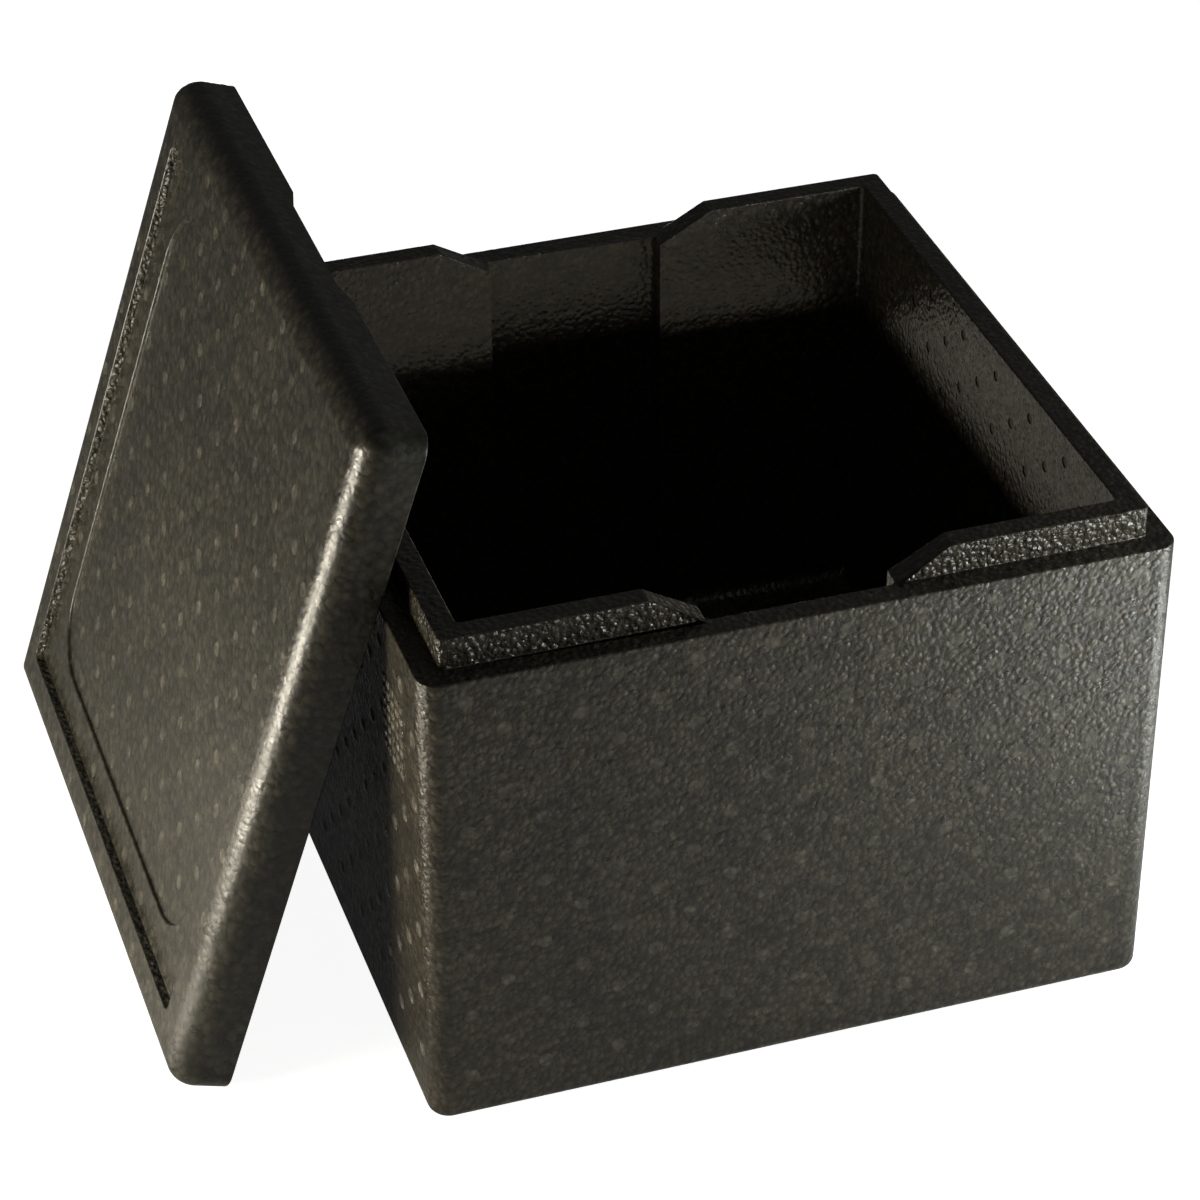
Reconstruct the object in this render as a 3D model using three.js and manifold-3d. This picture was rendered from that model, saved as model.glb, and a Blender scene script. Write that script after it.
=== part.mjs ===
// Insulated pizza box moulded in expanded polypropylene foam, with its loose lid taken off and
// leaning against the box's left side. Lengths are millimetres and +Z is up. +X runs to the
// right along the front and +Y runs to the back. The origin is the centre of the box's foot,
// on the floor.

import * as THREE from 'three';
import { mergeVertices } from 'three/addons/utils/BufferGeometryUtils.js';
import Module from 'manifold-3d';

const wasm = await Module();
wasm.setup();

// Outer size, shared by the box and its lid
const outerWidth = 410;
const outerDepth = 410;
const outerCorner = 12;
const smallEdge = 1;
const leastCorner = 2;

// Box body: a foot for stacking, straight walls, a shoulder and a raised rim
const bodyHeight = 284;
const bottomEdge = 6;
const footClearance = 2;
const footGap = 0.5;
const shoulderWidth = 13.5;
const rimHeight = 17.5;
const rimThickness = 13;
const rimCorner = 3;
const floorThickness = 30;
const cavityDraft = 3.5;
const mouthCorner = 3;
const cavityFloorFillet = 8;

// Hand channels down the front and back walls, which run out through a notch in the rim
const channelHalfWidth = 51.5;
const channelWall = 14;
const channelFillet = 4;
const notchTopHalfWidth = 82;

// Lid: a skirt round a groove for the rim, a plug that fills the mouth, a recessed top
const lidHeight = 35;
const lidTopEdge = 17;
const lidClearance = 1;
const plugDrop = 5.3;
const plugEdge = 2;
const recessInset = 31;
const recessDepth = 5;
const recessDraft = 2;
const recessCorner = 5;
const panelInset = 53.7;
const panelDepth = 1.8;
const panelDraft = 0.6;
const panelCorner = 38;

// Finger notches in the front and back of the lid's skirt
const fingerHalfWidth = 65;
const fingerTopHalfWidth = 45;
const fingerHeight = 5.1;

// The lid's lean, taken off and stood on its front edge
const leanAngle = THREE.MathUtils.degToRad(17.7);
const leanShift = 62;
const seatGap = 0.3;

// How far a cutter runs past what it cuts
const overrun = 5;

// Curve steps
const outlineDivisions = 8;
const smallArcSteps = 2;
const largeArcSteps = 8;

// Heights and insets that follow. The foot fits the recess of a lid below it.
const footHeight = recessDepth - footGap;
const shoulderLevel = footHeight + bodyHeight;
const rimLevel = shoulderLevel + rimHeight;
const floorLevel = footHeight + floorThickness;
const mouthInset = shoulderWidth + rimThickness;
const cavityInset = mouthInset + cavityDraft;
const recessFloorInset = recessInset + recessDraft;
const footInset = recessFloorInset + footClearance;
const quarter = Math.PI / 2;

const foam = {
  box_body: new THREE.MeshStandardMaterial({ color: 0x33302d, roughness: 0.72, metalness: 0 }),
  lid: new THREE.MeshStandardMaterial({ color: 0x3a3632, roughness: 0.68, metalness: 0 }),
};

// A rounded rectangle that lies `inset` inside the outer faces, anticlockwise from above.
function outline(inset, corner) {
  const x = outerWidth / 2 - inset - corner;
  const y = outerDepth / 2 - inset - corner;
  const path = new THREE.Path();
  path.absarc(x, -y, corner, -quarter, 0);
  path.absarc(x, y, corner, 0, quarter);
  path.absarc(-x, y, corner, quarter, 2 * quarter);
  path.absarc(-x, -y, corner, 2 * quarter, 3 * quarter);
  return path.getPoints(outlineDivisions);
}

// Levels of one wall. Its corner radius is stated at one inset and shrinks further inside,
// as it does in any outline that is offset inwards.
function wall(statedInset, corner, points) {
  return points.map(([inset, z]) => (
    { inset, z, corner: Math.max(corner + statedInset - inset, leastCorner) }
  ));
}

// Points of an arc in section. Angle 0 points outwards and a quarter turn points up.
function arc(inset, z, radius, start, end, steps) {
  return Array.from({ length: steps + 1 }, (_, i) => {
    const angle = THREE.MathUtils.lerp(start, end, i / steps);
    return [inset - radius * Math.cos(angle), z + radius * Math.sin(angle)];
  });
}

// A closed solid through a list of levels, from the middle of its underside, round the
// outside, to the middle of its upper side.
function loft(levels) {
  const rings = levels.map(({ inset, corner }) => outline(inset, corner));
  const count = rings[0].length;
  const positions = rings.flatMap((ring, i) => ring.flatMap((p) => [p.x, p.y, levels[i].z]));
  const cap = (ring, offset, up) => THREE.ShapeUtils.triangulateShape(ring, []).flatMap(
    ([a, b, c]) => (up ? [a, b, c] : [a, c, b]).map((corner) => corner + offset),
  );
  const index = cap(rings[0], 0, false);
  for (let ring = 0; ring + 1 < rings.length; ring += 1) {
    for (let i = 0; i < count; i += 1) {
      const next = (i + 1) % count;
      const low = ring * count;
      const high = low + count;
      index.push(low + i, low + next, high + next, low + i, high + next, high + i);
    }
  }
  index.push(...cap(rings.at(-1), (rings.length - 1) * count, true));
  const geometry = new THREE.BufferGeometry();
  geometry.setAttribute('position', new THREE.Float32BufferAttribute(positions, 3));
  geometry.setIndex(index);
  return toSolid(geometry);
}

function toSolid(geometry) {
  const bare = geometry.clone();
  bare.deleteAttribute('normal');
  bare.deleteAttribute('uv');
  const merged = mergeVertices(bare);
  return new wasm.Manifold(new wasm.Mesh({
    numProp: 3,
    vertProperties: Float32Array.from(merged.attributes.position.array),
    triVerts: Uint32Array.from(merged.index.array),
  }));
}

function toMesh(name, solid) {
  const { vertProperties, triVerts, numProp } = solid.getMesh();
  const geometry = new THREE.BufferGeometry();
  const positions = new THREE.Float32BufferAttribute(vertProperties, numProp);
  geometry.setAttribute('position', positions);
  geometry.setIndex(Array.from(triVerts));
  geometry.computeVertexNormals();
  const mesh = new THREE.Mesh(geometry, foam[name]);
  mesh.name = name;
  return mesh;
}

// An outline of half widths and heights, mirrored about the middle and extruded along Y
// between two depths.
function frontCutter(halfOutline, nearY, farY) {
  const right = halfOutline.map(([x, z]) => new THREE.Vector2(x, z));
  const left = halfOutline.map(([x, z]) => new THREE.Vector2(-x, z)).reverse();
  const shape = new THREE.Shape([...right, ...left]);
  const geometry = new THREE.ExtrudeGeometry(shape, { depth: farY - nearY, bevelEnabled: false });
  geometry.rotateX(quarter);
  geometry.translate(0, farY, 0);
  return toSolid(geometry);
}

// The same cut at the front and at the back.
function cutFrontAndBack(solid, cutter) {
  return solid.subtract(cutter).subtract(cutter.rotate([0, 0, 180]));
}

// Half width of a sloping side that is carried on past its top.
function carriedOn(bottom, top, height, extra) {
  return top + ((top - bottom) * extra) / height;
}

function rimNotch() {
  const above = carriedOn(channelHalfWidth, notchTopHalfWidth, rimHeight, overrun);
  return frontCutter(
    [[channelHalfWidth, shoulderLevel], [above, rimLevel + overrun]],
    shoulderWidth - overrun - outerDepth / 2,
    cavityInset + overrun - outerDepth / 2,
  );
}

function handChannel() {
  const near = channelWall - outerDepth / 2;
  const far = cavityInset + cavityFloorFillet + overrun - outerDepth / 2;
  const side = channelHalfWidth - channelFillet;
  const shape = new THREE.Shape();
  shape.absarc(-side, near + channelFillet, channelFillet, 2 * quarter, 3 * quarter);
  shape.absarc(side, near + channelFillet, channelFillet, 3 * quarter, 4 * quarter);
  shape.lineTo(channelHalfWidth, far);
  shape.lineTo(-channelHalfWidth, far);
  const geometry = new THREE.ExtrudeGeometry(shape, {
    depth: rimLevel + overrun - floorLevel,
    bevelEnabled: false,
    curveSegments: smallArcSteps,
  });
  geometry.translate(0, 0, floorLevel);
  return toSolid(geometry);
}

function boxBody() {
  const foot = wall(footInset, recessCorner, [
    [footInset + smallEdge, 0],
    [footInset, smallEdge],
    [footInset, footHeight],
  ]);
  const outside = wall(0, outerCorner, [
    ...arc(bottomEdge, footHeight + bottomEdge, bottomEdge, -quarter, 0, largeArcSteps / 2),
    ...arc(smallEdge, shoulderLevel - smallEdge, smallEdge, 0, quarter, smallArcSteps),
  ]);
  const rimOutside = wall(shoulderWidth, rimCorner, [
    [shoulderWidth, shoulderLevel],
    ...arc(shoulderWidth + smallEdge, rimLevel - smallEdge, smallEdge, 0, quarter, smallArcSteps),
  ]);
  const rimInside = arc(
    mouthInset - smallEdge, rimLevel - smallEdge, smallEdge, quarter, 2 * quarter, smallArcSteps,
  );
  const floorFillet = arc(
    cavityInset + cavityFloorFillet, floorLevel + cavityFloorFillet, cavityFloorFillet,
    0, -quarter, largeArcSteps / 2,
  );
  const cavity = wall(mouthInset, mouthCorner, [...rimInside, ...floorFillet]);
  const solid = loft([...foot, ...outside, ...rimOutside, ...cavity]);
  return toMesh('box_body', cutFrontAndBack(
    cutFrontAndBack(solid, handChannel()),
    rimNotch(),
  ));
}

// The lid lies the right way up here, with its skirt's lower edge at height 0.
function lid() {
  const skirtInset = shoulderWidth - lidClearance;
  const plugInset = mouthInset + lidClearance;
  const grooveLevel = rimHeight + lidClearance;
  const bandLevel = lidHeight - recessDepth;
  const plug = wall(mouthInset, mouthCorner, [
    ...arc(plugInset + plugEdge, plugEdge - plugDrop, plugEdge, -quarter, 0, smallArcSteps),
    [plugInset, grooveLevel],
  ]);
  const grooveOutside = wall(shoulderWidth, rimCorner, [
    [skirtInset, grooveLevel],
    [skirtInset, smallEdge],
    [skirtInset - smallEdge, 0],
  ]);
  const outside = wall(0, outerCorner, [
    ...arc(smallEdge, smallEdge, smallEdge, -quarter, 0, smallArcSteps),
    ...arc(lidTopEdge, lidHeight - lidTopEdge, lidTopEdge, 0, quarter, largeArcSteps),
  ]);
  const recess = wall(recessInset, recessCorner, [
    [recessInset, lidHeight],
    [recessFloorInset, bandLevel],
  ]);
  const panel = wall(panelInset, panelCorner, [
    [panelInset, bandLevel],
    [panelInset + panelDraft, bandLevel - panelDepth],
  ]);
  const solid = loft([...plug, ...grooveOutside, ...outside, ...recess, ...panel]);
  const below = carriedOn(fingerTopHalfWidth, fingerHalfWidth, fingerHeight, overrun);
  const fingerNotch = frontCutter(
    [[below, -overrun], [fingerTopHalfWidth, fingerHeight]],
    -overrun - outerDepth / 2,
    skirtInset + lidClearance - outerDepth / 2,
  );
  return toMesh('lid', cutFrontAndBack(solid, fingerNotch));
}

// The lid stands on the edge of its skirt, and its plug rests on the box's left shoulder.
function leaningLid() {
  const turned = lid();
  turned.rotation.z = -quarter;
  const leaning = new THREE.Group();
  leaning.add(turned);
  leaning.rotation.y = leanAngle - quarter;
  leaning.updateMatrixWorld(true);
  const height = -new THREE.Box3().setFromObject(leaning, true).min.z;
  const outward = new THREE.Vector2(-Math.cos(leanAngle), Math.sin(leanAngle));
  const shoulder = new THREE.Vector2(-outerWidth / 2, shoulderLevel - smallEdge);
  const reach = shoulder.dot(outward) + plugDrop + seatGap;
  const away = (reach - height * outward.y) / outward.x;
  leaning.position.set(away, leanShift, height);
  return leaning;
}

const pizzaBox = new THREE.Group();
pizzaBox.add(boxBody(), leaningLid());
pizzaBox.updateMatrixWorld(true);

export default pizzaBox;
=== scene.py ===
"""Insulated pizza box of moulded bead foam, with its lid taken off and leant on its left side.

Lengths are in metres and +Z is up. +X runs to the right along the front of the box and +Y
runs to the back. The origin is the centre of the foot under the box, on the floor.
"""

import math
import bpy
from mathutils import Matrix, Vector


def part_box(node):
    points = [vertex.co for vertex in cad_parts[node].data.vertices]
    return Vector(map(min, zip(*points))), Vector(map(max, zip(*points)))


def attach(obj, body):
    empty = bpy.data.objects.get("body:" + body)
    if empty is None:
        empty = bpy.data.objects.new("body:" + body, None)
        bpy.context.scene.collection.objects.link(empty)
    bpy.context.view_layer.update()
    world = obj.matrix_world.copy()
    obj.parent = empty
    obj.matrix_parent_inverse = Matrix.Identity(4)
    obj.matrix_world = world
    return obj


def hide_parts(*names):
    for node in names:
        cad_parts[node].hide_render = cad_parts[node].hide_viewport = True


bl_info = {
    "name": "Insulated Pizza Box",
    "version": (1, 0, 0),
    "blender": (4, 5, 0),
    "location": "View3D > Sidebar > Pizza Box",
    "description": "Builds a foam pizza box with a loose lid, its bead-grained skin and a stage",
    "category": "Add Mesh",
}

import bmesh
import bpy
from bpy.props import FloatProperty, FloatVectorProperty, IntProperty, PointerProperty
from mathutils import Matrix, Vector

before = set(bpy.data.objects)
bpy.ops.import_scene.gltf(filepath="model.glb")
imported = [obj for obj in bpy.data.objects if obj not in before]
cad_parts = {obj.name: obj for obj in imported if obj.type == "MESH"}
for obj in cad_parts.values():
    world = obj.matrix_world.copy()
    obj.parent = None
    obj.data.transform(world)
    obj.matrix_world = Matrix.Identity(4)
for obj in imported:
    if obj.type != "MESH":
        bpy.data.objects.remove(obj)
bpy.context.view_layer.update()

MM = 0.001
QUARTER = math.pi / 2
LID_LOW, LID_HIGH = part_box("lid")
BODY_LOW, BODY_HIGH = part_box("box_body")

# How many steps the round forms have
EDGE_STEPS = 3  # small rounded edges
FILLET_STEPS = 6  # the body's lower edge, the cavity's fillet and the channels' corners
LID_EDGE_STEPS = 14  # the wide rounding round the lid's top
PANEL_EDGE_STEPS = 5  # the rounding along the lid's panel
CUT_EDGE_STEPS = 2  # the edges that a cut leaves
MARK_STEPS = 14  # round the raised marks
PIT_STEPS = 12  # round the pits

# Lengths that serve the making of the pieces
SMALLEST_CORNER = 2 * MM  # least radius of an outline's corners
CUT_OVER = 5 * MM  # how far a cutter stands out of what it cuts
RECESS_EDGE = 0.5 * MM  # rounding of the edges of the lid's recess
WELD = 0.01 * MM  # points that lie closer than this are one

# Angles between neighbouring faces, and the rise of a normal
FLAT_ANGLE = math.radians(0.5)  # two faces below this become one
CUT_ANGLE = math.radians(36)  # an edge above this is rounded after a cut
SHARP_ANGLE = math.radians(35)  # an edge above this stays sharp in the shading
UPRIGHT_RISE = 0.5  # a face whose normal rises less than this counts as upright

# Where the marks and pits lie
ROW_START = 8 * MM  # first row of a wall's marks, above the foot
SIDE_SHIFT = 4.6 * MM  # the left wall's rows, in front of the wall's middle
PATCH_FORWARD = 150 * MM  # the patch of studs, in front of the wall's middle
PATCH_RISE = 224 * MM  # the patch of studs, above the foot
PATCH_COLUMNS, PATCH_ROWS = 5, 7
STUD_ROW_SHARE = 0.9  # spacing of the studs' rows, as a share of their columns' spacing
PIT_TOP = 15.5 * MM  # highest row of pits, below the rim's top
PIT_SHIFT = 22 * MM  # the rows of pits, in front of the wall's middle
PIT_MARGIN = 60 * MM  # wall without pits at each end of a row
PIT_REACH = 230 * MM  # how far down the rows of pits go from the highest
PIT_BOTTOM = 0.75  # radius of a pit's bottom, as a share of its top's
LID_CORNER_GAP = 20 * MM  # how far the lid's marks stay back from its corners

# The foam's pattern. Distances count in beads, heights in depths of relief, and shades are
# factors on the foam's colour.
DOME_REACH = 0.75  # from a bead's middle to the end of its dome
# The crease values are painted shade: the colour is raised at a bead's middle and darkened into
# its creases.
CREASE_SHADE_START = 0.15  # from a bead's middle to where it starts to darken
GRAIN_WAVES = 1.3  # waves of fine grain in one bead
GRAIN_HEIGHT = 1.6
BEAD_SHADES = (0.6, 1.4)  # darkest and palest bead
CREASE_PAINTED_SHADES = (1.15, 0.6)  # a bead's middle and its crease
CLOUD_WAVES = 14  # waves of the cloudy shading in a metre
CLOUD_LEVELS = (0.3, 0.7)  # levels of the noise that get the two shades below
CLOUD_SHADES = (0.9, 1.1)
POLISH_STEP = 0.08  # how far a bead's roughness departs from the foam's

# The stage. The camera's place is given round the point that it looks at: degrees to the
# right of the front, degrees up, and metres.
FLOOR_RADIUS = 6
FLOOR_STEPS = 64
CAMERA_LENS = 118.33
CAMERA_SENSOR = 36
CAMERA_REACH = 50
CAMERA_TARGET = (-0.04439, 0, 0.1743)
CAMERA_TURN = -18.27
CAMERA_LIFT = 34.46
CAMERA_DISTANCE = 2.2009

# The two colours of the lamps' light
WARM = (1, 0.93, 0.77)
NEUTRAL = (0.95, 1, 0.98)

# Each lamp's place and aim, its width and height, its spread in degrees, its power in watts
# and its colour
LAMPS = (
    ("lamp_left", (-1.0, -0.05, 0.08), (-0.25, -0.02, 0.12), (0.3, 0.14), 180, 3.1, WARM),
    ("lamp_left_front", (-1.0, -0.35, 0.08), (-0.25, -0.17, 0.12), (0.3, 0.14), 180, 0.2, WARM),
    ("lamp_left_far", (-1.4, -0.1, 0.1), (-0.25, -0.05, 0.12), (0.8, 0.18), 180, 3.6, WARM),
    ("lamp_left_near", (-0.65, 0.1, 0.05), (-0.25, 0.05, 0.12), (0.3, 0.08), 180, 0.3, WARM),
    ("lamp_left_small", (-0.9, -0.2, 0.06), (-0.25, -0.1, 0.12), (0.15, 0.1), 180, 0.95, WARM),
    ("lamp_left_high", (-0.95, -0.17, 0.22), (-0.22, -0.13, 0.35), (0.26, 0.08), 180, 3.0, WARM),
    ("lamp_left_floor", (-0.5, -0.12, 0.35), (-0.5, -0.12, 0), (0.15, 0.15), 30, 0.42, WARM),
    ("lamp_right", (0.9, -0.9, 0.25), (0.1, -0.1, 0.2), (0.4, 0.4), 180, 6.5, NEUTRAL),
    ("lamp_right_near", (0.45, -0.45, 0.33), (0.1, -0.1, 0.2), (0.15, 0.15), 180, 2.1, NEUTRAL),
    ("lamp_right_floor", (0.58, -0.46, 0.5), (0.56, -0.44, 0), (0.2, 0.2), 60, 4.4, NEUTRAL),
    ("lamp_back", (0.05, 1.3, 0.1), (0.05, 0.2, 0.15), (0.4, 0.15), 180, 1.6, NEUTRAL),
    ("lamp_top", (0, -0.3, 1.7), (-0.04, 0, 0.15), (1, 1), 180, 0.6, NEUTRAL),
    ("lamp_mouth", (0, -0.005, 0.225), (0, -0.005, 1), (0.32, 0.33), 180, 0.15, WARM),
)


def length(name, millimetres, description):
    """A size in metres, given here in millimetres."""
    return FloatProperty(
        name=name, description=description, default=millimetres * MM, min=0.0,
        precision=4, unit="LENGTH",
    )


def colour(name, default, description):
    """A colour, given as linear red, green and blue."""
    return FloatVectorProperty(
        name=name, description=description, default=default, size=3, min=0.0, max=1.0,
        subtype="COLOR",
    )


def share(name, default, description, high=1.0):
    """A plain number from 0 to a highest value."""
    return FloatProperty(name=name, description=description, default=default, min=0.0, max=high)


class PizzaBoxSizes(bpy.types.PropertyGroup):
    """Sizes of the box body and its lid"""

    width: FloatProperty(
        name="Outer width", description="Side of the square box and of its lid",
        default=BODY_HIGH.x - BODY_LOW.x, min=0.1, precision=4, unit="LENGTH",
    )
    corner: length("Upright corner", 12, "Radius of the four upright outer corners")
    lower_edge: length("Lower edge", 6, "Radius of the body's lower outer edge")
    small_edge: length("Small edge", 1, "Radius of the edges of the shoulder, rim and skirt")
    foot_height: length("Foot height", 4.5, "How far the foot stands out under the body")
    foot_inset: length("Foot inset", 35, "Distance from the outer wall to the foot")
    shoulder_height: length("Shoulder height", 288.5, "Height of the shoulder above the floor")
    shoulder_width: length("Shoulder width", 13.5, "Ledge outside the rim")
    rim_height: length("Rim height", 17.5, "Height of the rim above the shoulder")
    rim_thickness: length("Rim thickness", 13, "Wall thickness of the rim")
    rim_corner: length("Rim corner", 3, "Radius of the rim's outer corners")
    floor_height: length("Cavity floor", 34.5, "Height of the cavity's floor above the ground")
    cavity_draft: length("Cavity draft", 3.5, "How far the walls lean in from rim to floor")
    mouth_corner: length("Mouth corner", 3, "Radius of the mouth's upright corners")
    cavity_fillet: length("Cavity fillet", 8, "Radius where the walls meet the cavity floor")
    channel_width: length("Channel width", 103, "Width of the hand channels, front and back")
    channel_wall: length("Channel wall", 14, "Wall left behind a hand channel")
    channel_fillet: length("Channel fillet", 4, "Radius of a hand channel's inner corners")
    notch_width: length("Notch width", 164, "Width of the rim's notch at its top")
    lid_height: length("Lid height", 35, "Height of the lid's skirt and plate together")
    lid_edge: length("Lid edge", 17, "Radius of the lid's upper outer edge")
    lid_clearance: length("Lid clearance", 1, "Gap between the rim and the lid's groove")
    plug_drop: length("Plug drop", 5.3, "How far the plug hangs below the skirt")
    plug_edge: length("Plug edge", 2, "Radius of the plug's lower edge")
    recess_inset: length("Recess inset", 31, "Distance from the lid's side to its recess")
    recess_depth: length("Recess depth", 5, "Depth of the recess in the lid's top")
    recess_draft: length("Recess draft", 2, "How far the recess walls lean in")
    recess_corner: length("Recess corner", 5, "Radius of the recess's corners")
    panel_inset: length("Panel inset", 53.7, "Distance from the lid's side to its panel")
    panel_depth: length("Panel depth", 1.8, "Depth of the panel below the recess floor")
    panel_draft: length("Panel draft", 0.3, "How far the panel's step leans in")
    panel_edge: length("Panel edge", 1.3, "Radius of the upper edge of the panel's step")
    panel_corner: length("Panel corner", 38, "Radius of the panel's corners")
    finger_width: length("Finger notch width", 130, "Width of a finger notch in the skirt")
    finger_top: length("Finger notch top", 90, "Flat width of a finger notch at its top")
    finger_height: length("Finger notch height", 5.1, "Height of a finger notch")
    lean: FloatProperty(
        name="Lean", description="Tilt of the leaning lid from upright",
        default=math.radians(17.7), subtype="ANGLE",
    )
    corner_steps: IntProperty(
        name="Corner steps", description="Steps round each upright corner", default=10, min=2,
    )


class PizzaBoxVents(bpy.types.PropertyGroup):
    """The small round marks that the mould's steam vents leave"""

    radius: length("Mark radius", 3.7, "Radius of a vent mark's crest")
    ridge: length("Mark ridge", 1.4, "Width of the crest round a vent mark")
    rise: length("Mark rise", 0.15, "Height of a vent mark above the skin")
    side_radius: length("Side mark radius", 4.5, "Radius of a side mark, on the left wall")
    side_rise: length("Side mark rise", 0.5, "Height of the side marks and of the fine studs")
    side_flat: share("Side mark flat", 0.75, "Flat top of a side mark, as a share of its radius")
    dish: share("Mark dish", 0.2, "Height of a mark's middle, as a share of its rise")
    pit_depth: length("Pit depth", 0.5, "Depth of the pits inside")
    lid_pitch: length("Lid pitch", 20.65, "Row spacing of the marks on the lid")
    wall_pitch: length("Wall pitch", 20.3, "Row spacing of the marks on the outer walls")
    inside_pitch: length("Inside pitch", 23.3, "Column spacing of the pits inside")
    inside_row: length("Inside row", 17, "Row spacing of the pits inside")
    stud_pitch: length("Stud pitch", 7.7, "Spacing of the fine studs on the left wall")
    stud_side: length("Stud side", 4.2, "Side of one fine stud")


class PizzaBoxFinish(bpy.types.PropertyGroup):
    """Colours and grain of the foam"""

    body: colour("Body foam", (0.0365, 0.0312, 0.0212), "Colour of the body's foam")
    lid: colour("Lid foam", (0.031, 0.0285, 0.0205), "Colour of the lid's foam")
    # Painted sheen: the body's vent marks are paler than its foam for the sheen that they catch.
    body_vent_sheen: colour("Body vents", (0.063, 0.056, 0.041), "Colour of the vent marks on the body")
    # Painted glint: the left wall's marks and fine studs are far paler than the foam for the glint
    # on their rims.
    side_vent_glint: colour("Side vents", (0.13, 0.121, 0.10), "Colour of the marks on the left wall")
    # Painted sheen: the lid's vent marks are paler than its foam for the sheen that they catch.
    lid_vent_sheen: colour("Lid vents", (0.072, 0.067, 0.051), "Colour of the vent marks on the lid")
    # Painted shade: the pits are darker than the foam for the shade inside them.
    pit: colour("Vent pits", (0.012, 0.011, 0.009), "Colour inside the vent pits")
    bead: length("Bead size", 3.8, "Width of one foam bead")
    relief: length("Bead relief", 0.34, "Depth of the creases between beads")
    roughness: share("Roughness", 0.31, "Roughness of the foam's skin")
    gloss: share("Gloss", 0.4, "Strength of the skin's reflection")


class PizzaBoxStage(bpy.types.PropertyGroup):
    """Floor, lamps and camera"""

    floor: colour("Floor", (0.75, 0.75, 0.75), "Colour of the studio floor")
    glow: share("Glow", 0.93, "White that the camera sees on the floor and backdrop")
    mirrored_glow: share("Mirrored glow", 0.05, "White of the floor in what mirrors it")
    ambient: share("Ambient light", 0.030, "Light of the studio from all sides")
    lamps: share("Lamps", 1.0, "Strength of all the lamps together", high=4.0)


# Shapes that both pieces use


def arc(inset, level, radius, start, end, steps):
    """Points of an arc in section. Angle 0 points outwards and a quarter turn points up."""
    angles = [start + (end - start) * i / steps for i in range(steps + 1)]
    return [(inset - radius * math.cos(a), level + radius * math.sin(a)) for a in angles]


def wall(stated_inset, corner, points):
    """Levels of one wall: inset, level and corner radius, which shrinks as the wall moves in."""
    return [
        (inset, level, max(corner + stated_inset - inset, SMALLEST_CORNER))
        for inset, level in points
    ]


def loft(levels, half, steps):
    """A closed solid through rounded squares, from its underside round to its upper side."""
    bm = bmesh.new()
    inset, level, corner = levels[0]
    bmesh.ops.create_grid(bm, x_segments=1, y_segments=1, size=half - inset)
    bmesh.ops.translate(bm, verts=bm.verts, vec=(0, 0, level))
    bmesh.ops.bevel(
        bm, geom=bm.verts[:], offset=corner, segments=steps, profile=0.5, affect="VERTICES",
        material=-1,
    )
    bmesh.ops.reverse_faces(bm, faces=bm.faces)
    rim = bm.edges[:]
    for new_inset, new_level, new_corner in levels[1:]:
        made = bmesh.ops.extrude_edge_only(bm, edges=rim)["geom"]
        points = [g for g in made if isinstance(g, bmesh.types.BMVert)]
        rim = [
            g for g in made
            if isinstance(g, bmesh.types.BMEdge) and g.verts[0] in points and g.verts[1] in points
        ]
        for side in ((-1, -1), (-1, 1), (1, -1), (1, 1)):
            group = [v for v in points if v.co.x * side[0] > 0 and v.co.y * side[1] > 0]
            old = Vector((*[s * (half - inset - corner) for s in side], level))
            new = Vector((*[s * (half - new_inset - new_corner) for s in side], new_level))
            grow = new_corner / corner
            bmesh.ops.scale(
                bm, vec=(grow, grow, 1), space=Matrix.Translation(-old), verts=group,
            )
            bmesh.ops.translate(bm, verts=group, vec=new - old)
        inset, level, corner = new_inset, new_level, new_corner
    bmesh.ops.holes_fill(bm, edges=rim, sides=0)
    bmesh.ops.recalc_face_normals(bm, faces=bm.faces)
    return bm


def block(low, high):
    """A box between two corners."""
    bm = bmesh.new()
    bmesh.ops.create_cube(bm, size=1)
    low, high = Vector(low), Vector(high)
    bmesh.ops.scale(bm, vec=high - low, verts=bm.verts)
    bmesh.ops.translate(bm, verts=bm.verts, vec=(low + high) / 2)
    return bm


def front_and_back(bm):
    """Adds the same cutter at the back, turned half round."""
    copy = bmesh.ops.duplicate(bm, geom=bm.verts[:] + bm.edges[:] + bm.faces[:])["geom"]
    points = [g for g in copy if isinstance(g, bmesh.types.BMVert)]
    bmesh.ops.rotate(bm, verts=points, cent=(0, 0, 0), matrix=Matrix.Rotation(math.pi, 3, "Z"))
    return bm


def to_object(bm, name):
    """Makes an object of a shape, and puts it in the scene."""
    mesh = bpy.data.meshes.new(name)
    bm.to_mesh(mesh)
    bm.free()
    piece = bpy.data.objects.new(name, mesh)
    bpy.context.scene.collection.objects.link(piece)
    return piece


def combine(piece, bm, operation, material=None):
    """Cuts a shape from a piece, or joins it on, and leaves one plain mesh.

    Where a material slot's number is given, the faces that come from the shape get that slot.
    """
    tool = to_object(bm, piece.name + "_tool")
    for slot in piece.data.materials:
        tool.data.materials.append(slot)
    if material is not None:
        tool.data.polygons.foreach_set("material_index", [material] * len(tool.data.polygons))
    step = piece.modifiers.new("combine", "BOOLEAN")
    step.operation = operation
    step.solver = "MANIFOLD"
    step.object = tool
    graph = bpy.context.evaluated_depsgraph_get()
    mesh = bpy.data.meshes.new_from_object(piece.evaluated_get(graph))
    piece.modifiers.clear()
    old = piece.data
    name = old.name
    piece.data = mesh
    bpy.data.meshes.remove(old)
    mesh.name = name
    bpy.data.meshes.remove(tool.data)


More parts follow.
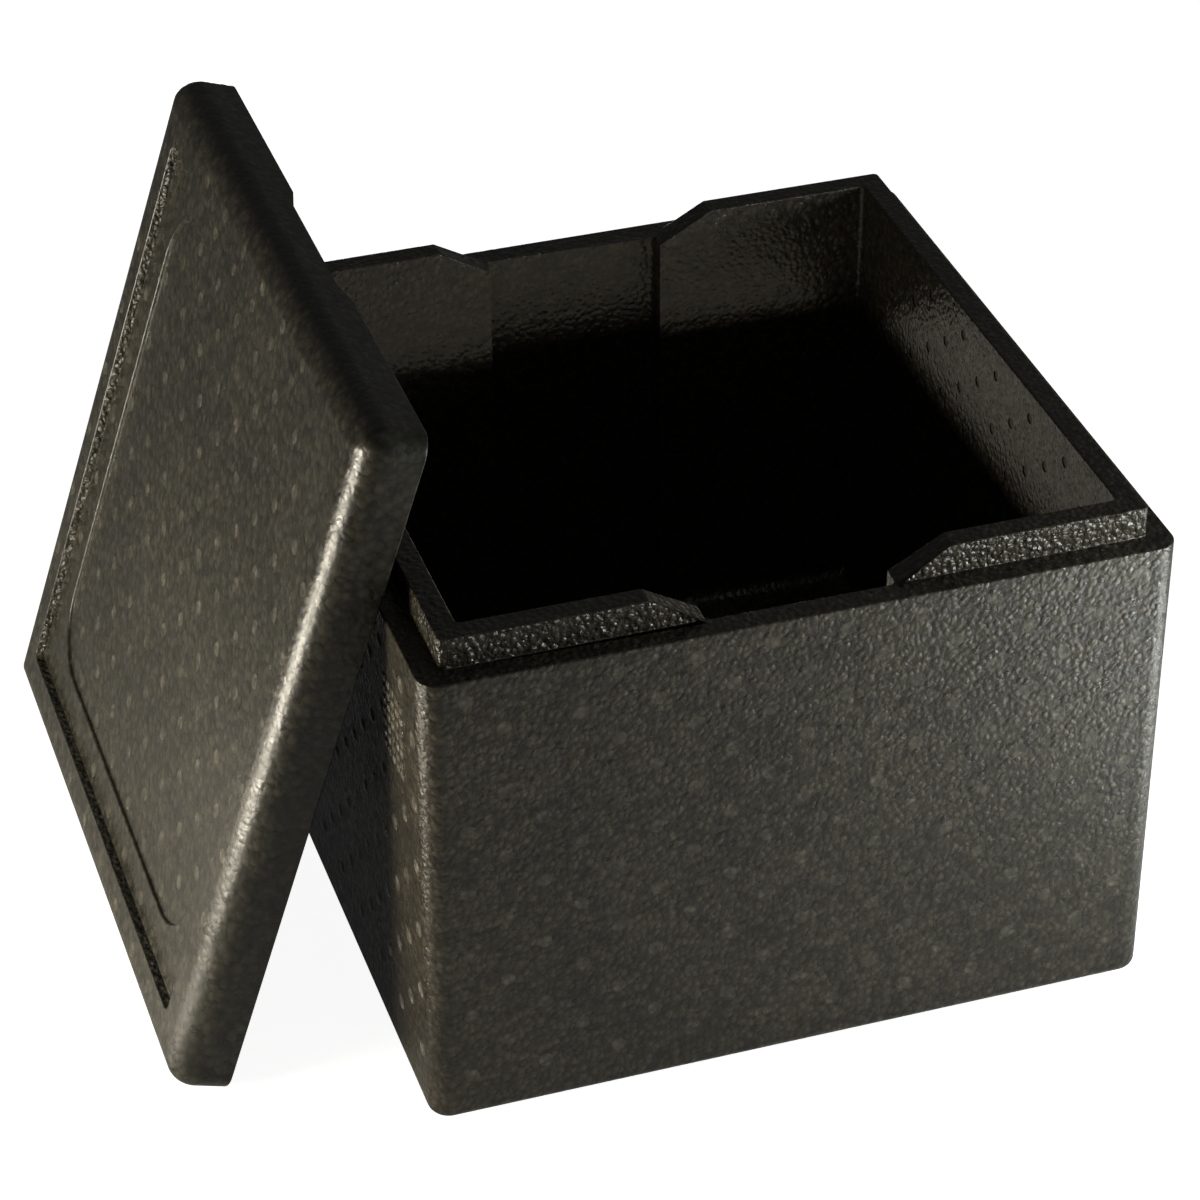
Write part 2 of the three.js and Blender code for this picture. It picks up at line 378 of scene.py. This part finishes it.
def round_cut_edges(piece, radius):
    """Rounds the sharp edges that the cuts leave, as a mould does."""
    bm = bmesh.new()
    bm.from_mesh(piece.data)
    bmesh.ops.dissolve_limit(bm, angle_limit=FLAT_ANGLE, verts=bm.verts, edges=bm.edges)
    sharp = [e for e in bm.edges if e.is_manifold and e.calc_face_angle() > CUT_ANGLE]
    bmesh.ops.bevel(
        bm, geom=sharp, offset=radius, segments=CUT_EDGE_STEPS, profile=0.5, affect="EDGES",
        material=-1,
    )
    bmesh.ops.triangulate(bm, faces=[f for f in bm.faces if len(f.verts) > 4])
    bm.to_mesh(piece.data)
    bm.free()


def coarse_walls(piece, half, low, high, near, far, material):
    """Gives the upright walls that lie between two insets and two levels another skin."""
    for face in piece.data.polygons:
        x, y, z = face.center
        inset = half - max(abs(x), abs(y))
        upright = abs(face.normal.z) < UPRIGHT_RISE
        if upright and low < z < high and near < inset < far:
            face.material_index = material


def finish(piece, body, node):
    """Smooth shading between the sharp edges, and the piece's place in the model."""
    mesh = piece.data
    mesh.polygons.foreach_set("use_smooth", [True] * len(mesh.polygons))
    mesh.set_sharp_from_angle(angle=SHARP_ANGLE)
    even = piece.modifiers.new("even shading", "WEIGHTED_NORMAL")
    even.mode = "FACE_AREA"
    even.weight = 100
    even.keep_sharp = True
    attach(piece, body)
    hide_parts(node)


# Vent marks


def turned(section):
    """A small closed solid turned about +Z from its half section, given as radius and height."""
    bm = bmesh.new()
    points = [bm.verts.new((radius, 0, height)) for radius, height in section]
    edges = [bm.edges.new(pair) for pair in zip(points, points[1:])]
    bmesh.ops.spin(
        bm, geom=points + edges, cent=(0, 0, 0), axis=(0, 0, 1), angle=2 * math.pi,
        steps=MARK_STEPS, use_merge=True,
    )
    bmesh.ops.remove_doubles(bm, verts=bm.verts, dist=WELD)
    bmesh.ops.recalc_face_normals(bm, faces=bm.faces)
    return bm


def vent_mark(vents):
    """One low round mark with a soft crest at its edge and a shallow dish inside."""
    half = vents.ridge / 2
    return turned([
        (0, vents.rise * vents.dish),
        (vents.radius - half, vents.rise * vents.dish),
        (vents.radius, vents.rise),
        (vents.radius + half, -vents.rise),
        (0, -vents.rise),
    ])


def side_mark(vents):
    """One side mark: a low round button with wide sloping sides."""
    flat, rise = vents.side_radius * vents.side_flat, vents.side_rise
    return turned([
        (0, rise), (flat, rise), (2 * vents.side_radius - flat, -rise), (0, -rise),
    ])


def round_pit(vents):
    """The cutter of one shallow round pit, half of it above the skin."""
    bm = bmesh.new()
    bmesh.ops.create_cone(
        bm, cap_ends=True, segments=PIT_STEPS, radius1=vents.radius * PIT_BOTTOM,
        radius2=vents.radius, depth=2 * vents.pit_depth,
    )
    return bm


def stud(vents):
    """One low square stud with bevelled shoulders."""
    half = vents.stud_side / 2
    rise = vents.side_rise
    bm = block((-half, -half, -rise), (half, half, rise))
    top = [e for e in bm.edges if all(v.co.z > 0 for v in e.verts)]
    bmesh.ops.bevel(
        bm, geom=top, offset=rise, segments=1, profile=0.5, affect="EDGES", material=-1,
    )
    return bm


def scatter(one, places):
    """Copies of one small shape, each carried by its matrix, in one mesh."""
    template = bpy.data.meshes.new("template")
    one.to_mesh(template)
    one.free()
    bm = bmesh.new()
    for place in places:
        before = len(bm.verts)
        bm.from_mesh(template)
        bm.verts.ensure_lookup_table()
        bmesh.ops.transform(bm, matrix=place, verts=bm.verts[before:])
    bpy.data.meshes.remove(template)
    return bm


def lattice(across, up, across_range, up_range, keep=lambda a, b: True):
    """Points of a staggered lattice through (0, 0), inside two ranges."""
    columns, rows = (
        range(math.ceil(low / step), math.floor(high / step) + 1)
        for step, (low, high) in ((across, across_range), (up, up_range))
    )
    return [
        (i * across, j * up) for i in columns for j in rows
        if (i + j) % 2 == 0 and keep(i * across, j * up)
    ]


def on_plane(origin, across, up):
    """The matrix that carries x, y and height off a plane into the model."""
    across, up = Vector(across), Vector(up)
    out = across.cross(up)
    return Matrix.Translation(origin) @ Matrix((across, up, out)).transposed().to_4x4()


# Materials


def foam(name, tint, values, roughness, relief_share, bead_share):
    """Moulded bead foam: domed beads with fine creases, each with a shade of its own, and painted
    shade that darkens the creases.

    The two shares scale the finish's relief and its bead size.
    """
    material = bpy.data.materials.new(name)
    material.use_nodes = True
    nodes, links = material.node_tree.nodes, material.node_tree.links
    shader = nodes["Principled BSDF"]
    shader.inputs["Specular IOR Level"].default_value = values.gloss
    place = nodes.new("ShaderNodeTexCoord")

    def ramp(source, low, high, new_low, new_high, shape="LINEAR"):
        """Carries the range from low to high onto a new one."""
        node = nodes.new("ShaderNodeMapRange")
        node.interpolation_type = shape
        node.inputs["From Min"].default_value = low
        node.inputs["From Max"].default_value = high
        node.inputs["To Min"].default_value = new_low
        node.inputs["To Max"].default_value = new_high
        links.new(source, node.inputs["Value"])
        return node.outputs["Result"]

    def mix(operation, *sources):
        """Joins outputs of nodes and plain numbers."""
        node = nodes.new("ShaderNodeMath")
        node.operation = operation
        for i, source in enumerate(sources):
            if isinstance(source, float):
                node.inputs[i].default_value = source
            else:
                links.new(source, node.inputs[i])
        return node.outputs["Value"]

    bead = values.bead * bead_share
    beads = nodes.new("ShaderNodeTexVoronoi")
    beads.inputs["Scale"].default_value = 1 / bead
    grain = nodes.new("ShaderNodeTexNoise")
    grain.inputs["Scale"].default_value = GRAIN_WAVES / bead
    grain.inputs["Detail"].default_value = 1
    cloud = nodes.new("ShaderNodeTexNoise")
    cloud.inputs["Scale"].default_value = CLOUD_WAVES
    cloud.inputs["Detail"].default_value = 0
    for texture in (beads, grain, cloud):
        links.new(place.outputs["Object"], texture.inputs["Vector"])
    shade = nodes.new("ShaderNodeSeparateColor")
    links.new(beads.outputs["Color"], shade.inputs["Color"])

    dome = ramp(beads.outputs["Distance"], 0.0, DOME_REACH, 1.0, 0.0, "SMOOTHSTEP")
    height = mix("MULTIPLY_ADD", grain.outputs["Fac"], GRAIN_HEIGHT, dome)
    bump = nodes.new("ShaderNodeBump")
    bump.inputs["Strength"].default_value = 1.0
    bump.inputs["Distance"].default_value = values.relief * relief_share
    links.new(height, bump.inputs["Height"])
    links.new(bump.outputs["Normal"], shader.inputs["Normal"])

    own = ramp(shade.outputs["Red"], 0.0, 1.0, *BEAD_SHADES)
    # Painted shade: darker from a bead's middle into the creases between beads.
    crease_shade = ramp(beads.outputs["Distance"], CREASE_SHADE_START, DOME_REACH, *CREASE_PAINTED_SHADES)
    patch = ramp(cloud.outputs["Fac"], *CLOUD_LEVELS, *CLOUD_SHADES)
    tinted = nodes.new("ShaderNodeVectorMath")
    tinted.operation = "SCALE"
    tinted.inputs[0].default_value = tint
    links.new(mix("MULTIPLY", mix("MULTIPLY", own, crease_shade), patch), tinted.inputs["Scale"])
    links.new(tinted.outputs["Vector"], shader.inputs["Base Color"])

    polish = ramp(
        shade.outputs["Green"], 0.0, 1.0, roughness - POLISH_STEP, roughness + POLISH_STEP,
    )
    links.new(polish, shader.inputs["Roughness"])
    return material


def add_skins(piece, values, skins):
    """Gives a piece its materials: name, colour, added roughness, relief share, bead share."""
    for name, tint, rougher, relief_share, bead_share in skins:
        skin = foam(name, tint, values, values.roughness + rougher, relief_share, bead_share)
        piece.data.materials.append(skin)


# Operators


class PIZZABOX_OT_body(bpy.types.Operator):
    """Makes the box body: foot, walls, shoulder, rim, cavity and hand channels"""

    bl_idname = "pizza_box.body"
    bl_label = "Box body"

    # Slots of its materials
    VENTS, PITS, SIDE_VENTS, COARSE = 1, 2, 3, 4

    def execute(self, context):
        sizes = context.scene.pizza_box_sizes
        vents = context.scene.pizza_box_vents
        values = context.scene.pizza_box_finish
        half = sizes.width / 2
        edge = sizes.small_edge
        rim_level = sizes.shoulder_height + sizes.rim_height
        mouth = sizes.shoulder_width + sizes.rim_thickness
        cavity = mouth + sizes.cavity_draft
        levels = self.section(sizes, rim_level, mouth, cavity)
        piece = to_object(loft(levels, half, sizes.corner_steps), "box_body_foam")
        add_skins(piece, values, (
            ("body_foam", values.body, 0, 1, 1),
            # Painted sheen: the vent marks' pale colour.
            ("body_vents_sheen", values.body_vent_sheen, 0, 0.4, 1),
            # Painted shade: the pits' dark colour.
            ("body_pits_shade", values.pit, 0.2, 0.4, 1),
            # Painted glint: the pale colour of the left wall's marks and studs.
            ("side_vents_glint", values.side_vent_glint, -0.05, 0.15, 1),
            ("body_coarse", values.body, 0.03, 2.6, 0.95),
        ))
        combine(piece, self.channels(sizes, half, rim_level, cavity), "DIFFERENCE")
        combine(piece, self.notches(sizes, half, rim_level, cavity), "DIFFERENCE")
        round_cut_edges(piece, edge)
        coarse_walls(
            piece, half, sizes.shoulder_height + edge / 2, rim_level - edge / 2,
            sizes.shoulder_width - edge, sizes.shoulder_width + edge, self.COARSE,
        )

        marks = self.wall_marks(sizes, vents, half)
        combine(piece, scatter(vent_mark(vents), marks), "UNION", material=self.VENTS)
        marks, studs = self.side_marks(sizes, vents, half)
        # The side marks and the fine studs both take the pale colour of painted glint.
        combine(piece, scatter(side_mark(vents), marks), "UNION", material=self.SIDE_VENTS)
        combine(piece, scatter(stud(vents), studs), "UNION", material=self.SIDE_VENTS)
        pits = self.inside_pits(sizes, vents, half, cavity, rim_level)
        # The pits take the dark colour of painted shade.
        combine(piece, scatter(round_pit(vents), pits), "DIFFERENCE", material=self.PITS)
        finish(piece, "box", "box_body")
        return {"FINISHED"}

    def section(self, sizes, rim_level, mouth, cavity):
        """Levels from the foot up the outside, over the rim and down to the cavity's floor."""
        edge = sizes.small_edge
        foot = wall(sizes.foot_inset, sizes.recess_corner, [
            (sizes.foot_inset + edge, 0),
            (sizes.foot_inset, edge),
            (sizes.foot_inset, sizes.foot_height),
        ])
        lower = sizes.lower_edge
        outside = wall(0, sizes.corner, [
            *arc(lower, sizes.foot_height + lower, lower, -QUARTER, 0, FILLET_STEPS),
            *arc(edge, sizes.shoulder_height - edge, edge, 0, QUARTER, EDGE_STEPS),
        ])
        rim_outside = wall(sizes.shoulder_width, sizes.rim_corner, [
            (sizes.shoulder_width, sizes.shoulder_height),
            *arc(sizes.shoulder_width + edge, rim_level - edge, edge, 0, QUARTER, EDGE_STEPS),
        ])
        fillet = sizes.cavity_fillet
        inside = wall(mouth, sizes.mouth_corner, [
            *arc(mouth - edge, rim_level - edge, edge, QUARTER, 2 * QUARTER, EDGE_STEPS),
            *arc(cavity + fillet, sizes.floor_height + fillet, fillet, 0, -QUARTER, FILLET_STEPS),
        ])
        return foot + outside + rim_outside + inside

    def channels(self, sizes, half, rim_level, cavity):
        """The cutter of the two hand channels, which run from the rim to the cavity's floor."""
        channel_half = sizes.channel_width / 2
        near = sizes.channel_wall - half
        channel = block(
            (-channel_half, near, sizes.floor_height),
            (channel_half, cavity + sizes.cavity_fillet + CUT_OVER - half, rim_level + CUT_OVER),
        )
        corners = [
            e for e in channel.edges
            if abs(e.verts[0].co.z - e.verts[1].co.z) > CUT_OVER
            and e.verts[0].co.y < near + MM
        ]
        bmesh.ops.bevel(
            channel, geom=corners, offset=sizes.channel_fillet, segments=FILLET_STEPS,
            profile=0.5, affect="EDGES", material=-1,
        )
        return front_and_back(channel)

    def notches(self, sizes, half, rim_level, cavity):
        """The cutter of the rim's two notches, which widen upwards."""
        channel_half = sizes.channel_width / 2
        notch = block(
            (-channel_half, sizes.shoulder_width - CUT_OVER - half, sizes.shoulder_height),
            (channel_half, cavity + CUT_OVER - half, rim_level + CUT_OVER),
        )
        slope = (sizes.notch_width - sizes.channel_width) / 2 / sizes.rim_height
        wide = 1 + slope * (sizes.rim_height + CUT_OVER) / channel_half
        upper = [v for v in notch.verts if v.co.z > rim_level]
        bmesh.ops.scale(notch, vec=(wide, 1, 1), verts=upper)
        return front_and_back(notch)

    def mark_field(self, sizes, vents, half):
        """Where the lowest row of marks lies, and how far a wall's marks reach from there."""
        start = sizes.foot_height + ROW_START
        reach = half - sizes.corner - vents.radius
        low = sizes.foot_height + sizes.lower_edge + vents.radius
        high = sizes.shoulder_height - 2 * vents.radius
        return start, (-reach, reach), (low - start, high - start)

    def wall_marks(self, sizes, vents, half):
        """Places of the round marks on the front, right and back walls."""
        pitch = vents.wall_pitch
        start, across, rows = self.mark_field(sizes, vents, half)
        walls = (
            on_plane((0, -half, start), (1, 0, 0), (0, 0, 1)),
            on_plane((0, half, start), (-1, 0, 0), (0, 0, 1)),
            on_plane((half, 0, start), (0, 1, 0), (0, 0, 1)),
        )
        places = lattice(pitch, pitch, across, rows)
        return [face @ Matrix.Translation((a, b, 0)) for face in walls for a, b in places]

    def side_marks(self, sizes, vents, half):
        """Places of the round marks on the left wall, and of the patch of fine studs in it."""
        pitch = vents.wall_pitch
        start, across, (lowest, highest) = self.mark_field(sizes, vents, half)
        start += pitch / 2
        left = on_plane((-half, -SIDE_SHIFT, start), (0, -1, 0), (0, 0, 1))
        patch_level = sizes.foot_height + PATCH_RISE
        column = vents.stud_pitch
        row = column * STUD_ROW_SHARE
        beside = PATCH_COLUMNS / 2 * column + vents.radius
        below = PATCH_ROWS / 2 * row + vents.radius

        def clear_of_patch(a, b):
            a, b = a + SIDE_SHIFT - PATCH_FORWARD, b + start - patch_level
            return abs(a) > beside or abs(b) > below

        places = lattice(pitch, pitch, across, (lowest, highest - pitch / 2), clear_of_patch)
        marks = [left @ Matrix.Translation((a, b, 0)) for a, b in places]
        patch = on_plane((-half, -PATCH_FORWARD, patch_level), (0, -1, 0), (0, 0, 1))
        studs = [
            patch @ Matrix.Translation((i * column, j * row, 0))
            for i in range(-(PATCH_COLUMNS // 2), PATCH_COLUMNS // 2 + 1)
            for j in range(-(PATCH_ROWS // 2), PATCH_ROWS // 2 + 1)
        ]
        return marks, studs

    def inside_pits(self, sizes, vents, half, cavity, rim_level):
        """Places of the round pits in the cavity's left and right walls."""
        tilt = sizes.cavity_draft / (rim_level - sizes.floor_height)
        inner = half - cavity + sizes.cavity_draft
        reach = inner - PIT_MARGIN
        places = lattice(vents.inside_pitch, vents.inside_row, (-reach, reach), (-PIT_REACH, 0))
        pits = []
        for side in (-1, 1):
            for a, b in places:
                out = inner - (PIT_TOP - b) * tilt
                face = on_plane(
                    (side * out, -PIT_SHIFT, rim_level - PIT_TOP), (0, side, 0), (0, 0, 1),
                )
                pits.append(face @ Matrix.Translation((a * side, b, 0)))
        return pits


class PIZZABOX_OT_lid(bpy.types.Operator):
    """Makes the loose lid and leans it on the box's left side"""

    bl_idname = "pizza_box.lid"
    bl_label = "Leaning lid"

    # Slots of its materials
    VENTS, COARSE = 1, 2

    def execute(self, context):
        sizes = context.scene.pizza_box_sizes
        vents = context.scene.pizza_box_vents
        values = context.scene.pizza_box_finish
        half = sizes.width / 2
        edge = sizes.small_edge
        band = sizes.lid_height - sizes.recess_depth
        levels = self.section(sizes, band)
        piece = to_object(loft(levels, half, sizes.corner_steps), "lid_foam")
        add_skins(piece, values, (
            ("lid_foam", values.lid, 0, 0.4, 1.2),
            # Painted sheen: the lid's vent marks' pale colour.
            ("lid_vents_sheen", values.lid_vent_sheen, 0.05, 0.3, 1),
            ("lid_coarse", values.lid, 0.03, 2.6, 0.95),
        ))
        combine(piece, self.finger_notches(sizes, half), "DIFFERENCE")
        coarse_walls(
            piece, half, band + RECESS_EDGE, sizes.lid_height - RECESS_EDGE,
            sizes.recess_inset - edge, sizes.recess_inset + sizes.recess_draft + edge, self.COARSE,
        )
        marks = self.top_marks(sizes, vents, half, band)
        combine(piece, scatter(vent_mark(vents), marks), "UNION", material=self.VENTS)
        self.lean(piece, sizes)
        finish(piece, "lid", "lid")
        return {"FINISHED"}

    def section(self, sizes, band):
        """Levels from the plug through the groove, round the skirt and over the top."""
        edge = sizes.small_edge
        skirt = sizes.shoulder_width - sizes.lid_clearance
        mouth = sizes.shoulder_width + sizes.rim_thickness
        plug_inset = mouth + sizes.lid_clearance
        groove = sizes.rim_height + sizes.lid_clearance
        plug = wall(mouth, sizes.mouth_corner, [
            *arc(plug_inset + sizes.plug_edge, sizes.plug_edge - sizes.plug_drop,
                 sizes.plug_edge, -QUARTER, 0, EDGE_STEPS),
            (plug_inset, groove),
        ])
        skirt_inside = wall(sizes.shoulder_width, sizes.rim_corner, [
            (skirt, groove), (skirt, edge), (skirt - edge, 0),
        ])
        round_lid = sizes.lid_edge
        outside = wall(0, sizes.corner, [
            *arc(edge, edge, edge, -QUARTER, 0, EDGE_STEPS),
            *arc(round_lid, sizes.lid_height - round_lid, round_lid, 0, QUARTER, LID_EDGE_STEPS),
        ])
        recess_floor = sizes.recess_inset + sizes.recess_draft
        recess = wall(sizes.recess_inset, sizes.recess_corner, [
            (sizes.recess_inset - RECESS_EDGE, sizes.lid_height),
            (sizes.recess_inset, sizes.lid_height - RECESS_EDGE),
            (recess_floor - RECESS_EDGE, band + RECESS_EDGE),
            (recess_floor + RECESS_EDGE, band),
        ])
        step = sizes.panel_edge
        panel = wall(sizes.panel_inset, sizes.panel_corner, [
            *arc(sizes.panel_inset - step, band - step, step, QUARTER, 2 * QUARTER,
                 PANEL_EDGE_STEPS),
            (sizes.panel_inset + sizes.panel_draft, band - sizes.panel_depth),
        ])
        return plug + skirt_inside + outside + recess + panel

    def finger_notches(self, sizes, half):
        """The cutter of the two finger notches in the skirt, which narrow upwards."""
        fingers = block(
            (-sizes.finger_top / 2, -CUT_OVER - half, -CUT_OVER),
            (sizes.finger_top / 2, sizes.shoulder_width - half, sizes.finger_height),
        )
        slope = (sizes.finger_width - sizes.finger_top) / sizes.finger_height
        wide = 1 + slope * (sizes.finger_height + CUT_OVER) / sizes.finger_top
        lower = [v for v in fingers.verts if v.co.z < 0]
        bmesh.ops.scale(fingers, vec=(wide, 1, 1), verts=lower)
        return front_and_back(fingers)

    def top_marks(self, sizes, vents, half, band):
        """Places of the round marks on the lid's top, clear of its steps and corners."""
        panel_half = half - sizes.panel_inset
        recess_half = half - sizes.recess_inset
        flat_half = half - sizes.lid_edge
        corner_middle = panel_half - sizes.panel_corner
        reach = vents.radius + vents.ridge

        def height_at(a, b):
            far = max(abs(a), abs(b))
            if far < panel_half - reach:
                return band - sizes.panel_depth
            if panel_half + vents.radius < far < recess_half - reach:
                return band
            if far > recess_half + reach:
                return sizes.lid_height
            return None

        def clear(a, b):
            near, far = sorted((abs(a), abs(b)))
            from_middle = math.hypot(max(near - corner_middle, 0), max(far - corner_middle, 0))
            on_corner = near > corner_middle and from_middle > sizes.panel_corner - reach
            on_top = far < flat_half and near < flat_half - LID_CORNER_GAP
            return on_top and not on_corner and height_at(a, b) is not None

        span = (-half, half)
        return [
            Matrix.Translation((a, b, height_at(a, b)))
            for a, b in lattice(vents.lid_pitch, vents.lid_pitch, span, span, clear)
        ]

    def lean(self, piece, sizes):
        """Stands the lid on one edge of its skirt, where the model's lid stands."""
        tilt = sizes.lean
        turn = Matrix((
            (0, math.sin(tilt), -math.cos(tilt)),
            (-1, 0, 0),
            (0, math.cos(tilt), math.sin(tilt)),
        )).to_4x4()
        piece.data.transform(turn)
        low = Vector([min(v.co[i] for v in piece.data.vertices) for i in range(3)])
        middle = (LID_LOW.y + LID_HIGH.y) / 2
        piece.data.transform(Matrix.Translation((
            LID_LOW.x - low.x, middle, LID_LOW.z - low.z,
        )))


class PIZZABOX_OT_stage(bpy.types.Operator):
    """Makes the pale floor, the soft lamps, the backdrop and the camera"""

    bl_idname = "pizza_box.stage"
    bl_label = "Stage"

    def execute(self, context):
        scene = context.scene
        stage = scene.pizza_box_stage
        scene.view_settings.view_transform = "Standard"
        self.make_floor(stage)
        self.make_backdrop(scene, stage)
        self.make_lamps(stage)
        self.make_camera(scene)
        return {"FINISHED"}

    def white_to_camera(self, nodes, links, stage, base=0.0):
        """Strength of a white that the camera sees, and mirrors and glass see dimmer."""
        path = nodes.new("ShaderNodeLightPath")
        mirrored = nodes.new("ShaderNodeMath")
        mirrored.operation = "ADD"
        links.new(path.outputs["Is Glossy Ray"], mirrored.inputs[0])
        links.new(path.outputs["Is Transmission Ray"], mirrored.inputs[1])
        total = base
        for source, strength in (
            (path.outputs["Is Camera Ray"], stage.glow),
            (mirrored.outputs["Value"], stage.mirrored_glow),
        ):
            seen = nodes.new("ShaderNodeMath")
            seen.operation = "MULTIPLY_ADD"
            seen.inputs[1].default_value = strength
            links.new(source, seen.inputs[0])
            if isinstance(total, float):
                seen.inputs[2].default_value = total
            else:
                links.new(total, seen.inputs[2])
            total = seen.outputs["Value"]
        return total

    def make_floor(self, stage):
        """A wide pale disc that shows white and still takes the object's shadow."""
        bm = bmesh.new()
        bmesh.ops.create_circle(bm, cap_ends=True, segments=FLOOR_STEPS, radius=FLOOR_RADIUS)
        floor = to_object(bm, "studio_floor")
        material = bpy.data.materials.new("studio_floor")
        material.use_nodes = True
        nodes, links = material.node_tree.nodes, material.node_tree.links
        nodes.clear()
        paper = nodes.new("ShaderNodeBsdfDiffuse")
        paper.inputs["Color"].default_value = (*stage.floor, 1)
        glow = nodes.new("ShaderNodeEmission")
        links.new(self.white_to_camera(nodes, links, stage), glow.inputs["Strength"])
        total = nodes.new("ShaderNodeAddShader")
        links.new(paper.outputs["BSDF"], total.inputs[0])
        links.new(glow.outputs["Emission"], total.inputs[1])
        output = nodes.new("ShaderNodeOutputMaterial")
        links.new(total.outputs["Shader"], output.inputs["Surface"])
        floor.data.materials.append(material)

    def make_backdrop(self, scene, stage):
        """A white backdrop, and the studio's even light."""
        world = bpy.data.worlds.new("studio")
        scene.world = world
        world.use_nodes = True
        nodes, links = world.node_tree.nodes, world.node_tree.links
        background = nodes["Background"]
        background.inputs["Color"].default_value = (1, 1, 1, 1)
        seen = self.white_to_camera(nodes, links, stage, stage.ambient)
        links.new(seen, background.inputs["Strength"])

    def make_lamps(self, stage):
        """The soft lamps, which the camera doesn't see."""
        for name, place, aim, size, spread, power, tint in LAMPS:
            lamp = bpy.data.lights.new(name, "AREA")
            lamp.shape = "RECTANGLE"
            lamp.size, lamp.size_y = size
            lamp.spread = math.radians(spread)
            lamp.energy = power * stage.lamps
            lamp.color = tint
            holder = bpy.data.objects.new(name, lamp)
            holder.visible_camera = False
            holder.location = place
            ray = Vector(aim) - Vector(place)
            holder.rotation_euler = ray.to_track_quat("-Z", "Y").to_euler()
            bpy.context.scene.collection.objects.link(holder)

    def make_camera(self, scene):
        """The camera, aimed at the middle of what is shown."""
        camera = bpy.data.cameras.new("camera")
        camera.lens = CAMERA_LENS
        camera.sensor_width = CAMERA_SENSOR
        camera.clip_end = CAMERA_REACH
        holder = bpy.data.objects.new("camera", camera)
        target = Vector(CAMERA_TARGET)
        turn, lift = math.radians(CAMERA_TURN), math.radians(CAMERA_LIFT)
        holder.location = target + CAMERA_DISTANCE * Vector((
            math.sin(turn) * math.cos(lift), -math.cos(turn) * math.cos(lift), math.sin(lift),
        ))
        ray = target - holder.location
        holder.rotation_euler = ray.to_track_quat("-Z", "Y").to_euler()
        scene.collection.objects.link(holder)
        scene.camera = holder


class PIZZABOX_PT_panel(bpy.types.Panel):
    """Lists the box's pieces and sizes in the sidebar"""

    bl_label = "Pizza Box"
    bl_idname = "PIZZABOX_PT_panel"
    bl_space_type = "VIEW_3D"
    bl_region_type = "UI"
    bl_category = "Pizza Box"

    def draw(self, context):
        layout = self.layout
        for operator in (PIZZABOX_OT_body, PIZZABOX_OT_lid, PIZZABOX_OT_stage):
            layout.operator(operator.bl_idname)
        for group, name in GROUPS.items():
            values = getattr(context.scene, name)
            for value in group.__annotations__:
                layout.prop(values, value)


GROUPS = {
    PizzaBoxSizes: "pizza_box_sizes",
    PizzaBoxVents: "pizza_box_vents",
    PizzaBoxFinish: "pizza_box_finish",
    PizzaBoxStage: "pizza_box_stage",
}
CLASSES = (*GROUPS, PIZZABOX_OT_body, PIZZABOX_OT_lid, PIZZABOX_OT_stage, PIZZABOX_PT_panel)


def register():
    for one in CLASSES:
        bpy.utils.register_class(one)
    for group, name in GROUPS.items():
        setattr(bpy.types.Scene, name, PointerProperty(type=group))


def unregister():
    for name in GROUPS.values():
        delattr(bpy.types.Scene, name)
    for one in reversed(CLASSES):
        bpy.utils.unregister_class(one)


def main():
    """Makes the stage and both pieces."""
    register()
    bpy.ops.pizza_box.stage()
    bpy.ops.pizza_box.body()
    bpy.ops.pizza_box.lid()


if __name__ == "__main__":
    main()
